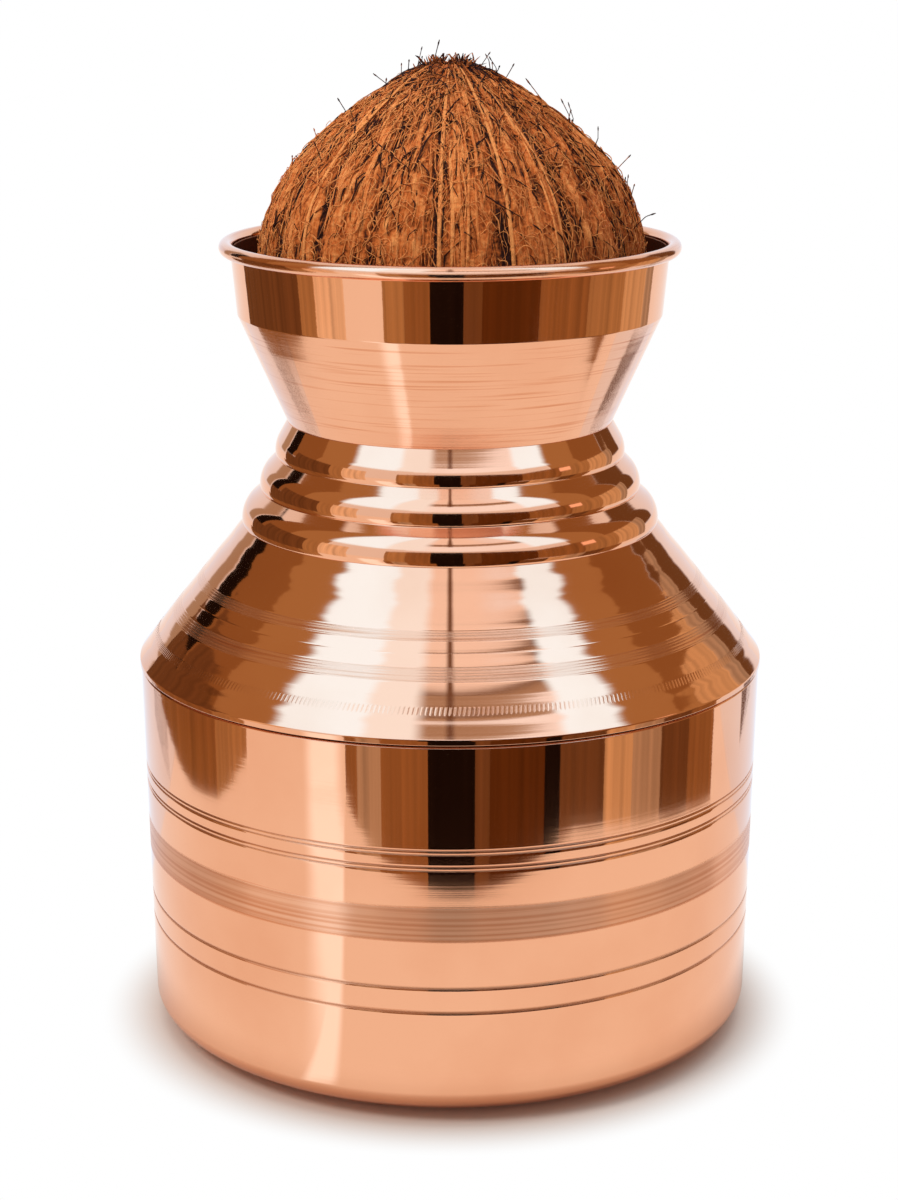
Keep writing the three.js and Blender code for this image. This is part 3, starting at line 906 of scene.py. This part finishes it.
class POT_OT_shoulder(bpy.types.Operator):
    """Turns the sloping shoulder with its scribed lines, and knurls the ring of ticks"""

    bl_idname = "pot.shoulder"
    bl_label = "Shoulder"
    # Corners of a tick, four at its base and two on its crest: shares of the pitch across it, of
    # the length up the slope and of the relief out of it
    TICK = (
        (-0.3, -0.5, -0.4), (0.3, -0.5, -0.4), (0.3, 0.5, -0.4), (-0.3, 0.5, -0.4),
        (0.0, -0.35, 1.0), (0.0, 0.35, 1.0),
    )
    TICK_FACES = ((0, 1, 4), (1, 2, 5, 4), (2, 3, 5), (3, 0, 4, 5), (3, 2, 1, 0))

    def execute(self, context):
        sizes, cuts = context.scene.pot_sizes, context.scene.pot_grooves
        meet = Meeting(sizes)
        slope, offset = face_of(meet.lip, meet.neck_foot)
        up = np.array([-slope[1], slope[0]])
        top = on_face(slope, offset, meet.neck_foot[0] - sizes.shoulder_lap)
        at_break = meet.lip + up * sizes.break_rise / up[1] + slope * sizes.break_bulge
        uneven = np.random.default_rng(9).uniform(-0.3, 0.3, 6)
        upper = cuts.upper_z + cuts.upper_pitch * (np.arange(5) + uneven[:5])
        lower = cuts.lower_z + cuts.lower_pitch * (np.arange(6) + uneven)
        scribed = np.concatenate([upper, lower, [cuts.lone_z]])
        edge = np.array([meet.lip_r, meet.lip_z])
        outer = joined(
            stretch(edge, meet.lip, 0.4 * MM)[:-2],
            rounded(edge, meet.lip, at_break, sizes.lip_round, 10),
            stretch(meet.lip, at_break, 0.5 * MM)[4:-1],
            rounded(meet.lip, at_break, top, 3 * MM, 4),
            stretch(at_break, top, 0.5 * MM, groove_heights(scribed, cuts.scribe_width))[2:],
        )
        z = outer[:, 1]
        on_slope = z > meet.lip[1] + 1 * MM
        waves = ripples(arc_length(outer), 10 * sizes.ripple, seed=8, shortest=2.5 * MM, longest=16 * MM)
        relief = waves * on_slope
        relief -= cuts.scribe_depth * grooves(z, scribed, cuts.scribe_width)
        in_group = (z > lower[0]) & (z < lower[-1]) | (z > upper[0]) & (z < upper[-1])
        copper_sheet(
            "shoulder_cone", "shoulder", "polished_copper", outer, relief,
            np.where(in_group, SCRIBED_SATIN, SHOULDER_SATIN), SCRIBED_PATINA * in_group, sizes,
            back_every=4,
        )
        self.knurl(cuts, outer, slope, up)
        return {"FINISHED"}

    def knurl(self, cuts, outer, slope, up):
        """A ring of small slanted ridges, pressed in more or less deeply round the pot by the
        product of two sines of the turn."""
        radius = np.interp(cuts.tick_z, outer[:, 1], outer[:, 0])
        count = int(2 * math.pi * radius / cuts.tick_pitch)
        turn = whole_turn(count)[:, None]
        corners = np.array(self.TICK) * (cuts.tick_pitch, cuts.tick_length, cuts.tick_relief)
        across, height, lift = corners.T
        pressed = 0.5 + 0.5 * np.sin(5 * turn + 0.9) * np.cos(11 * turn)
        lift = np.where(lift > 0, lift * pressed, lift)
        lean = 0.15 * height
        line_z = cuts.tick_z + height * up[1]
        r = np.interp(line_z, outer[:, 1], outer[:, 0]) + lift * slope[0]
        points = polar(r, line_z + lift * slope[1], turn + (across + lean) / radius)
        starts = [tick * len(self.TICK) for tick in range(count)]
        faces = [[start + corner for corner in face] for start in starts for face in self.TICK_FACES]
        satin = np.full(points.shape[:2], TICK_SATIN)
        copper = shared(spun_buffed_copper)
        ticks = make_piece("shoulder_ticks", points, faces, copper, {"satin": satin})
        ticks.data.shade_flat()
        finish_on(ticks, "pot", "polished_copper")


class POT_OT_neck(bpy.types.Operator):
    """Turns the neck: three ribs, each with a small nose over a crease and a round above it"""

    bl_idname = "pot.neck"
    bl_label = "Neck"

    def execute(self, context):
        sizes = context.scene.pot_sizes
        meet = Meeting(sizes)
        parts = []
        ends = [meet.crease(sizes, *rib) for rib in meet.ribs[1:]] + [meet.neck_top]
        for (nose_r, crease_z), end in zip(meet.ribs, ends):
            widest_z = crease_z + sizes.rib_nose * math.sin(meet.tuck)
            centre = np.array([nose_r - sizes.rib_bulge, widest_z])
            away = end - centre
            tangent = math.atan2(away[1], away[0]) - math.acos(sizes.rib_bulge / np.linalg.norm(away))
            bulge = arc(centre, sizes.rib_bulge, 0, tangent, 24)
            parts.append(arc((nose_r - sizes.rib_nose, widest_z), sizes.rib_nose, -meet.tuck, 0, 8))
            parts += [bulge, stretch(bulge[-1], end, 0.5 * MM)]
        outer = joined(*parts)
        relief = ripples(arc_length(outer), 4 * sizes.ripple, seed=5, longest=12 * MM)
        relief[[0, -1]] = 0
        cutters = [face_of(meet.lip, meet.neck_foot), face_of(meet.neck_top, meet.cone_top)]
        copper_sheet(
            "rolled_neck", "ribbed_neck", "polished_copper", outer, relief, NECK_SATIN, 0.0, sizes,
            cutters,
        )
        return {"FINISHED"}


class POT_OT_mouth(bpy.types.Operator):
    """Turns the mouth: spigot, brushed cone, mirror band and the rim rolled round its wire"""

    bl_idname = "pot.mouth"
    bl_label = "Mouth"

    def execute(self, context):
        sizes = context.scene.pot_sizes
        meet = Meeting(sizes)
        slope, offset = face_of(meet.neck_top, meet.cone_top)
        spigot_top = on_face(slope, offset, meet.neck_top[0] - sizes.sheet / slope[0] - sizes.gap)
        spigot_foot = spigot_top - np.array([0, sizes.spigot])
        curl_r = sizes.bead - sizes.sheet
        bead = meet.band_top + np.array([curl_r, 0])
        curl_end = -math.acos((meet.band_top[0] + sizes.gap - bead[0]) / sizes.bead)
        outer = joined(
            stretch(spigot_foot, spigot_top, 1 * MM)[:-2],
            rounded(spigot_foot, spigot_top, meet.cone_top, 0.5 * MM),
            stretch(spigot_top, meet.cone_top, 0.6 * MM)[2:-2],
            rounded(spigot_top, meet.cone_top, meet.band_top, 0.9 * MM, 8),
            stretch(meet.cone_top, meet.band_top, 0.6 * MM)[3:-1],
            arc(bead, curl_r, math.pi, curl_end, 40),
        )
        r, z = outer.T
        on_wall = (z < meet.band_top[1] - 1 * MM) & (z > meet.neck_top[1] + 1 * MM)
        relief = ripples(arc_length(outer), 3 * sizes.ripple, seed=11) * on_wall
        on_bead = r > meet.band_top[0] + 0.05 * MM
        satin = np.where(z < meet.cone_top[1], CONE_SATIN, BAND_SATIN)
        satin[on_bead] = BEAD_SATIN
        copper_sheet(
            "flaring_mouth", "mouth_funnel", "spun_copper", outer, relief, satin,
            BEAD_PATINA * on_bead, sizes, inside=meet.band_top - np.array([0, 0.3 * MM]),
        )
        return {"FINISHED"}


class POT_OT_seams(bpy.types.Operator):
    """Gives the solder and the rim's wire, which stay as they were packed, their metals"""

    bl_idname = "pot.seams"
    bl_label = "Seams"

    def execute(self, context):
        for name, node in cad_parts.items():
            if name.endswith("_solder"):
                node.material_slots[0].material = shared(run_solder)
            if name == "rim_wire":
                node.material_slots[0].material = shared(drawn_steel)
        return {"FINISHED"}


# The coconut


def streaks(random, rows, columns, shape):
    """Random values on a coarse grid, closed round its columns and eased between its points."""
    coarse = random.normal(size=(rows, columns))
    row = np.linspace(0, rows - 1.001, shape[0])[:, None]
    column = np.arange(shape[1])[None, :] * columns / shape[1]
    r0, c0 = row.astype(int), column.astype(int)
    c1 = (c0 + 1) % columns
    u, w = row - r0, column - c0
    u, w = u * u * (3 - 2 * u), w * w * (3 - 2 * w)
    low = coarse[r0, c0] * (1 - w) + coarse[r0, c1] * w
    high = coarse[r0 + 1, c0] * (1 - w) + coarse[r0 + 1, c1] * w
    return low * (1 - u) + high * u


class Husk:
    """The coconut's surface: a turned line with three soft ridges, the furrows between the
    straps, and a finer relief of fibre. A place on it is a turn round the axis and a length up
    the line from the lower end."""

    ROWS, COLUMNS, LINE_STEPS = 200, 480, 160
    CLEAR, FIBRE_CLEAR, CROWN_REACH = 0.1 * MM, 0.25 * MM, 17 * MM

    def __init__(self, scene):
        sizes = scene.nut_sizes
        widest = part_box("coconut")[0].z + sizes.drop
        crown_rise = sizes.rise * (1 - sizes.crown / sizes.radius) ** (1 / sizes.taper)
        crown_z = widest + crown_rise
        rise = crown_rise * np.sin(np.linspace(0, math.pi / 2, self.LINE_STEPS))
        line = joined(
            arc((0, widest), sizes.radius, -math.pi / 2, 0, self.LINE_STEPS, sizes.drop),
            np.stack([sizes.radius * (1 - (rise / sizes.rise) ** sizes.taper), widest + rise], -1),
            stretch((sizes.crown, crown_z), (0, crown_z - sizes.hollow), 0.8 * MM),
        )
        length = arc_length(line)
        self.total = length[-1]
        self.along = np.linspace(0, self.total, self.ROWS)
        self.line = np.stack([np.interp(self.along, length, line[:, k]) for k in (0, 1)], -1)
        self.line[[0, -1], 0] = 0
        self.normals = normals_of(self.line)
        self.widest, self.crown_z = widest, crown_z
        self.room = self.room_in_mouth(Meeting(scene.pot_sizes), scene.pot_sizes.sheet)
        random = np.random.default_rng(20)
        shape = (self.ROWS, self.COLUMNS)
        broad = streaks(random, 6, 60, shape)
        middle = streaks(random, 14, 130, shape)
        fine = streaks(random, 34, 240, shape)
        splits = np.clip(streaks(random, 8, 72, shape) - 1.2, 0, 1.2)
        turn = whole_turn(self.COLUMNS) - sizes.lobe_at
        rising = np.clip((self.line[:, 1:] - widest) / crown_rise, 0, 1)
        lobes = np.sin(math.pi * rising) * np.cos(3 * turn)
        phase = sizes.straps * turn + sizes.strap_drift * np.sin(2 * turn)
        valley = ((1 - np.cos(phase)) / 2) ** 1.6
        girth = self.line[:, :1] / sizes.radius
        fade = np.clip(self.line[:, :1] / (12 * MM), 0, 1)
        room = self.room[:, None] - self.CLEAR
        self.relief = sizes.lobe * lobes - sizes.furrow * girth * valley
        self.relief += sizes.relief * fade * (0.35 * broad + 0.35 * middle - 1.3 * splits)
        self.relief = np.minimum(self.relief, room)
        self.fine = np.minimum(sizes.relief * fade * 0.4 * fine, room - self.relief)
        # The tone is random streaks of fibre, less painted shade in the splits and at the bottom of each
        # furrow between the straps, less the painted shade beside the crown.
        self.tone = 0.58 + 0.06 * broad + 0.12 * middle + 0.13 * fine - 0.3 * splits - 0.6 * valley**4
        self.tone -= self.painted_crown_shade(self.line[:, :1], self.line[:, 1:], turn)

    def painted_crown_shade(self, radius, z, turn):
        """How much painted shade darkens the hollows beside the crown, less with the radius."""
        near = np.clip(1 - radius / self.CROWN_REACH, 0, 1) * (z > self.widest)
        return 2.2 * near * (0.06 + 0.94 * np.cos(turn + 0.75) ** 4)

    def room_in_mouth(self, meet, sheet):
        """How far the surface is, along the line, from the inside of the pot's mouth."""
        normal, offset = face_of(meet.neck_top, meet.cone_top)
        to_cone = offset - sheet - self.line @ normal
        to_band = meet.cone_top[0] - sheet - self.line[:, 0]
        inside = np.where(self.line[:, 1] < meet.cone_top[1], to_cone, to_band)
        return np.where(self.line[:, 1] > meet.band_top[1] + 2 * MM, 1.0, inside)

    def radius_at(self, along, least):
        """The line's radius at each length, or the least one where that is larger."""
        return np.maximum(np.interp(along, self.along, self.line[:, 0]), least)

    def places(self, turn, along, height):
        """Points at a height over the surface, and the surface's normals there. A point stays
        clear of the inside of the mouth."""
        row = np.round(np.clip(along / self.total * (self.ROWS - 1), 0, self.ROWS - 1)).astype(int)
        column = np.round(turn / (2 * math.pi) * self.COLUMNS).astype(int) % self.COLUMNS
        radius, z, out, up, room = (
            np.interp(along, self.along, values)
            for values in (*self.line.T, *self.normals.T, self.room)
        )
        lift = np.minimum(height + self.relief[row, column], room - self.FIBRE_CLEAR)
        normal = polar(out, up, turn)
        return polar(radius, z, turn) + normal * lift[..., None], normal


def tubes(paths, normals, widths, thicknesses, sides):
    """Many tubes at once, along paths of equal numbers of points. Each ring is an ellipse that
    lies across the path, with its thickness towards the normal. Both ends are capped."""
    heading = np.gradient(paths, axis=1)
    heading /= np.linalg.norm(heading, axis=2, keepdims=True)
    side = np.cross(heading, normals)
    side /= np.linalg.norm(side, axis=2, keepdims=True)
    over = np.cross(side, heading)
    angle = whole_turn(sides)[:, None]
    points = paths[:, :, None] + widths[:, :, None, None] * np.cos(angle) * side[:, :, None]
    points += thicknesses[:, :, None, None] * np.sin(angle) * over[:, :, None]
    count, steps = paths.shape[:2]
    starts = np.arange(count)[:, None, None] * steps * sides
    cap = np.arange(sides)
    faces = (starts + grid_faces(steps, sides)[:, ::-1]).reshape(-1, 4).tolist()
    faces += (starts[:, 0] + cap).tolist()
    faces += (starts[:, 0] + (steps - 1) * sides + cap[::-1]).tolist()
    return points, faces


def tapered(steps, sharpness=0.35):
    """A width along a fibre: full in the middle and thin at both ends."""
    share = np.linspace(0, 1, steps)
    return 0.12 + 0.88 * np.clip(np.sin(math.pi * share), 0, 1) ** sharpness


class POT_OT_husk(bpy.types.Operator):
    """Shapes the coconut's husk: matted ridges of fibre that run up to the crown"""

    bl_idname = "pot.husk"
    bl_label = "Husk"

    def execute(self, context):
        husk = Husk(context.scene)
        relief = (husk.relief + husk.fine)[1:-1]
        radius, z = (husk.line[1:-1, k, None] + relief * husk.normals[1:-1, k, None] for k in (0, 1))
        points = polar(radius, z, whole_turn(husk.COLUMNS))
        points, faces = with_poles(points, husk.line[0, 1], husk.line[-1, 1])
        tone = np.append(husk.tone[1:-1].ravel(), [0.3, 0.0])
        piece = make_piece("coconut_husk", points, faces, shared(coir, "matted_coir", 0.5), {"tone": tone})
        finish_on(piece, "coconut", "coconut_husk", "coconut")
        return {"FINISHED"}


class POT_OT_fibres(bpy.types.Operator):
    """Lays the coconut's fibres: long strands, short fibres, curled hairs and stray ends"""

    bl_idname = "pot.fibres"
    bl_label = "Fibres"
    # Where the boldest strands run, in degrees from the front, and their ends as shares of the
    # way up
    BOLD, BOLD_ENDS = (-47, -3, 19), (0.35, 0.955)

    def execute(self, context):
        sizes, husk = context.scene.nut_sizes, Husk(context.scene)
        self.long_strands(husk, sizes)
        self.short_fibres(husk, sizes)
        self.curled_hairs(husk, sizes)
        self.stray_hairs(husk, sizes)
        self.crown_tuft(husk, sizes)
        return {"FINISHED"}

    def lay(self, name, paths, normals, widths, sides, tones, thickest=math.inf):
        """One piece of many tubes, each with its tone."""
        points, faces = tubes(paths, normals, widths, np.minimum(widths, thickest), sides)
        values = {"tone": np.broadcast_to(tones[:, None, None], points.shape[:3])}
        piece = make_piece(name, points, faces, shared(coir, "dry_coir_fibre", 0.35), values)
        finish_on(piece, "coconut", "coconut_husk")

    def long_strands(self, husk, sizes):
        """Strands that run up the meridian, straying sideways in a slow wave."""
        random = np.random.default_rng(31)
        count, steps = 60, 44
        each = partial(random.uniform, size=(count, 1))
        share = np.linspace(0, 1, steps)
        bold = slice(len(self.BOLD))
        start = each(0.3, 0.62)
        end = each(0.7, 0.965)
        start[bold], end[bold] = self.BOLD_ENDS
        along = husk.total * (start + (end - start) * share)
        stray = each(0.2, 0.9) * MM
        wave = np.sin(share * each(4, 14) + each(0, 6))
        turn = each(0, 2 * math.pi)
        turn[bold, 0] = np.radians(self.BOLD)
        turn = turn + stray * wave / husk.radius_at(along, 8 * MM)
        paths, normals = husk.places(turn, along, 0.15 * MM)
        width = sizes.strand * each(0.4, 1.7) ** 1.5 * tapered(steps)
        width[bold] = 1.9 * sizes.strand * tapered(steps)
        tones = random.uniform(0.5, 1.1, count)
        tones[bold] = 1.2
        self.lay("coir_strands", paths, normals, width, 6, tones, 0.3 * MM)

    def short_fibres(self, husk, sizes):
        """Short fibres that lie close to the meridian. Each is turned a little off it and has a
        kink somewhere along it."""
        random = np.random.default_rng(32)
        count, steps = 6200, 6
        each = partial(random.uniform, size=(count, 1))
        share = np.linspace(0, 1, steps)
        length = (2.5 + random.gamma(2.2, 2.4, (count, 1))) * MM
        start = np.sqrt(each(0.0, 0.93)) * (husk.total - length * 1.3)
        slant = random.normal(0, 0.22, (count, 1))
        kink = random.normal(0, 0.7, (count, 1)) * np.maximum(share - each(0.2, 0.9), 0)
        along = start + length * share
        radius = husk.radius_at(along, 7 * MM)
        turn = each(0, 2 * math.pi) + length * (slant * share + kink) / radius
        arch = each(0.0, 0.55) * MM
        height = arch * np.sin(math.pi * share) + each(-0.05, 0.15) * MM
        paths, normals = husk.places(turn, along, height)
        width = sizes.fibre * each(0.45, 1.5) * tapered(steps)
        # About three in ten short fibres are dark, as painted shade in thin cracks between the fibres. Near
        # the crown each fibre also gets the painted shade beside the crown.
        tones = np.where(random.uniform(size=count) < 0.3, -0.6, 0.4) + random.uniform(0, 0.6, count)
        tones -= husk.painted_crown_shade(radius[:, -1], paths[:, -1, 2], turn[:, -1] - sizes.lobe_at)
        self.lay("coir_fibres", paths, normals, width, 3, tones)

    def curled_hairs(self, husk, sizes):
        """Loose hairs whose heading turns steadily, so that each lies in an arc or a hook."""
        random = np.random.default_rng(33)
        count, steps = 2400, 14
        each = partial(random.uniform, size=(count, 1))
        share = np.linspace(0, 1, steps)
        length = random.gamma(3.0, 2.0, (count, 1)) * MM + 2 * MM
        bend = random.normal(0, 2.4, (count, 1))
        heading = random.normal(0, 0.8, (count, 1)) + bend * share + 0.7 * np.sin(8 * share + bend)
        step = length / (steps - 1)
        start = husk.total * random.beta(5, 3.4, (count, 1)) * 0.95
        along = start + np.cumsum(np.cos(heading) * step, axis=1)
        along = np.clip(along, 0.03 * husk.total, 0.95 * husk.total)
        aside = np.cumsum(np.sin(heading) * step, axis=1)
        turn = each(0, 2 * math.pi) + aside / husk.radius_at(along, 7 * MM)
        arch = each(0.1, 1.0) * MM
        height = 0.15 * MM + arch * np.sin(math.pi * np.clip(share * 1.15, 0, 1))
        paths, normals = husk.places(turn, along, height)
        width = sizes.hair * each(0.6, 1.3) * tapered(steps, 0.25)
        self.lay("coir_curls", paths, normals, width, 3, random.uniform(0.9, 1.6, count))

    def stray_hairs(self, husk, sizes):
        """Dark hairs that leave the surface, bend once or twice and end in a small knob."""
        random = np.random.default_rng(34)
        count, steps = 90, 12
        one = (count, 1, 1)
        share = np.linspace(0, 1, steps)[:, None]
        start = husk.total * random.uniform(0.6, 0.95, (count, 1))
        turn = random.uniform(0, 2 * math.pi, (count, 1))
        root, normal = husk.places(turn, start, -0.2 * MM)
        sideways = np.stack([np.cos(turn), np.sin(turn), 0 * turn], -1)
        upward = np.cross(normal, sideways)
        lean = random.normal(0, 0.5, one)
        climb = random.normal(0.7, 0.6, one)
        course = normal + lean * sideways + climb * upward
        course /= np.linalg.norm(course, axis=2, keepdims=True)
        kink = random.normal(0, 0.45, one) * np.maximum(share - random.uniform(0.3, 0.7, one), 0)
        length = random.gamma(3.0, 1.3, one) * MM + 1.5 * MM
        paths = root + length * (course * share + (sideways - 0.4 * upward) * kink * 2)
        normals = np.broadcast_to(upward, paths.shape)
        width = sizes.hair * np.ones((count, steps))
        width[:, [0, -2, -1]] *= (1.6, 1.9, 0.8)
        self.lay("coir_stray_hairs", paths, normals, width, 4, random.uniform(-0.2, 0.15, count))

    def crown_tuft(self, husk, sizes):
        """Ragged dark stubs round the blunt end where the stalk was."""
        random = np.random.default_rng(35)
        count, steps = 420, 6
        share = np.linspace(0, 1, steps)[:, None]
        turn = random.uniform(0, 2 * math.pi, count)
        radius = sizes.crown * np.sqrt(random.uniform(0.1, 1.3, count))
        root_z = husk.crown_z - 1.6 * MM - 0.5 * np.maximum(radius - sizes.crown * 0.95, 0)
        root = polar(radius, root_z, turn)[:, None]
        course = random.normal(0, 0.7, (count, 1, 3)) + np.array([0, 0, 0.5])
        length = random.uniform(0.6, 3.2, (count, 1, 1)) * MM
        curl = random.normal(0, 0.5, (count, 1, 3))
        paths = root + length * (course * share + curl * share**2)
        paths[..., 2] = np.minimum(paths[..., 2], husk.crown_z + 2.4 * MM)
        normals = np.broadcast_to(np.array([0.6, 0.8, 0.05]), paths.shape)
        width = sizes.fibre * random.uniform(0.8, 2.2, (count, 1)) * tapered(steps, 0.5)
        self.lay("coir_crown_tuft", paths, normals, width, 4, random.uniform(-0.2, 0.5, count))


class POT_PT_panel(bpy.types.Panel):
    """The steps that build the pot, in order, and its sizes and colours"""

    bl_label = "Water pot"
    bl_idname = "POT_PT_panel"
    bl_space_type = "VIEW_3D"
    bl_region_type = "UI"
    bl_category = "Water pot"

    def draw(self, context):
        for step in STEPS:
            self.layout.operator(step.bl_idname)
        for group in GROUPS:
            box = self.layout.box()
            values = getattr(context.scene, group)
            for key in values.bl_rna.properties.keys():
                if key not in ("rna_type", "name"):
                    box.prop(values, key)


GROUPS = {
    "pot_sizes": PotSizes,
    "pot_grooves": GrooveSizes,
    "nut_sizes": NutSizes,
    "pot_colours": PotColours,
}
STEPS = (
    POT_OT_stage,
    POT_OT_vessel,
    POT_OT_shoulder,
    POT_OT_neck,
    POT_OT_mouth,
    POT_OT_seams,
    POT_OT_husk,
    POT_OT_fibres,
)


def register():
    for kind in (*GROUPS.values(), *STEPS, POT_PT_panel):
        bpy.utils.register_class(kind)
    for name, kind in GROUPS.items():
        setattr(bpy.types.Scene, name, PointerProperty(type=kind))


def unregister():
    for name in GROUPS:
        delattr(bpy.types.Scene, name)
    for kind in reversed((*GROUPS.values(), *STEPS, POT_PT_panel)):
        bpy.utils.unregister_class(kind)


def main():
    register()
    bpy.ops.pot.stage()
    bpy.ops.pot.vessel()
    bpy.ops.pot.shoulder()
    bpy.ops.pot.neck()
    bpy.ops.pot.mouth()
    bpy.ops.pot.seams()
    bpy.ops.pot.husk()
    bpy.ops.pot.fibres()


if __name__ == "__main__":
    main()
